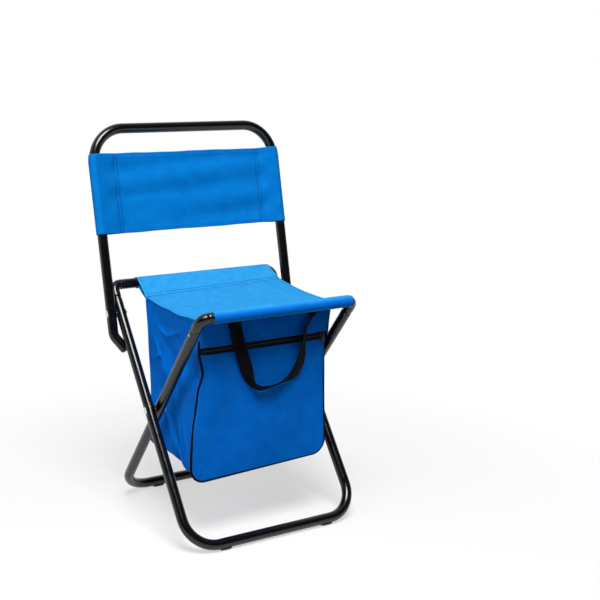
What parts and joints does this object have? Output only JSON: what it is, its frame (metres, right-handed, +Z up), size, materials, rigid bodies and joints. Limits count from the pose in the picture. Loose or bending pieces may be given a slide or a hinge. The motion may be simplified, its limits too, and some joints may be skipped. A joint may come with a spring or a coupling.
{
  "type": "folding cooler stool",
  "caption": "Folding stool of crossed bent-tube legs with a tilting backrest, a cloth seat and a zipped cooler bag with carrying straps hung under it.",
  "frame": {"origin": "on the floor under the middle of the stool's width and depth", "axes": "+Z up, -Y towards the front where the zip is, +X to the right of someone facing the front"},
  "size_m": [0.3494, 0.3142, 0.6137],
  "materials": {
    "black_paint": "gloss black powder coat",
    "zinc": "bright zinc plate",
    "black_nylon": "moulded black nylon",
    "blue_cloth": "plain woven coated polyester, blue",
    "black_webbing": "woven black webbing and tape",
    "foil_liner": "foil-faced foam insulation",
    "zip_coil": "black nylon coil",
    "zip_metal": "black lacquered die casting"
  },
  "bodies": {
    "front_legs": {"front_leg_frame": "black_paint", "rear_seat_bar": "black_paint", "rear_bar_pin_left": "zinc", "rear_bar_pin_right": "zinc", "leg_pivot_rivet_left": "zinc", "leg_pivot_rivet_right": "zinc", "leg_pivot_washer_left": "black_nylon", "leg_pivot_washer_right": "black_nylon", "backrest_rivet_left": "zinc", "backrest_rivet_right": "zinc", "backrest_washer_left": "black_nylon", "backrest_washer_right": "black_nylon", "front_foot_pad_left": "black_nylon", "front_foot_pad_right": "black_nylon", "seat_cloth": "blue_cloth", "rear_sleeve": "blue_cloth", "bag_side_left": "blue_cloth", "bag_side_right": "blue_cloth", "bag_bottom": "blue_cloth", "bag_liner": "foil_liner"},
    "rear_legs": {"rear_leg_frame": "black_paint", "front_seat_bar": "black_paint", "front_bar_pin_left": "zinc", "front_bar_pin_right": "zinc", "rear_foot_pad_left": "black_nylon", "rear_foot_pad_right": "black_nylon", "front_sleeve": "blue_cloth"},
    "backrest": {"backrest_frame": "black_paint", "backrest_end_cap_left": "black_nylon", "backrest_end_cap_right": "black_nylon", "backrest_cloth": "blue_cloth"},
    "bag_front": {"bag_front_band": "blue_cloth", "bag_front_panel": "blue_cloth", "bag_piping": "black_webbing", "zip_tape_upper": "black_webbing", "zip_tape_lower": "black_webbing", "zip_coil": "zip_coil"},
    "bag_rear": {"bag_rear_panel": "blue_cloth"},
    "front_handle": {"front_handle": "black_webbing"},
    "rear_handle": {"rear_handle": "black_webbing"},
    "zip_slider": {"zip_slider": "zip_metal"},
    "zip_pull": {"zip_pull": "zip_metal"}
  },
  "joints": [
    {"name": "fold", "type": "hinge", "parent": "front_legs", "child": "rear_legs", "pos_m": [0, -0.01282, 0.1898], "axis": [-1, 0, 0], "range_deg": [0, 69], "deforming": ["seat_cloth", "rear_sleeve", "bag_side_left", "bag_side_right", "bag_bottom", "bag_liner"]},
    {"name": "bag_front_swing", "type": "hinge", "parent": "rear_legs", "child": "bag_front", "pos_m": [0, -0.08967, 0.30721], "axis": [-1, 0, 0], "range_deg": [-33, 0]},
    {"name": "bag_rear_swing", "type": "hinge", "parent": "front_legs", "child": "bag_rear", "pos_m": [0, 0.06129, 0.30806], "axis": [-1, 0, 0], "range_deg": [0, 37]},
    {"name": "backrest_tilt", "type": "hinge", "parent": "front_legs", "child": "backrest", "pos_m": [0, 0.08586, 0.32379], "axis": [1, 0, 0], "range_deg": [0, 85]},
    {"name": "front_handle_swing", "type": "hinge", "parent": "bag_front", "child": "front_handle", "pos_m": [0, -0.10465, 0.334], "axis": [-1, 0, 0], "range_deg": [0, 90]},
    {"name": "rear_handle_swing", "type": "hinge", "parent": "bag_rear", "child": "rear_handle", "pos_m": [0, 0.07515, 0.34], "axis": [1, 0, 0], "range_deg": [0, 90]},
    {"name": "zip_slide", "type": "slide", "parent": "bag_front", "child": "zip_slider", "axis": [-1, 0, 0], "range_m": [0, 0.2]},
    {"name": "zip_pull_swing", "type": "hinge", "parent": "zip_slider", "child": "zip_pull", "pos_m": [0.1047, -0.10735, 0.29925], "axis": [-1, 0, 0], "range_deg": [0, 90]}
  ],
  "couplings": [
    {"joint": "bag_front_swing", "follows": "fold", "ratio": -0.4729},
    {"joint": "bag_rear_swing", "follows": "fold", "ratio": 0.5271}
  ]
}
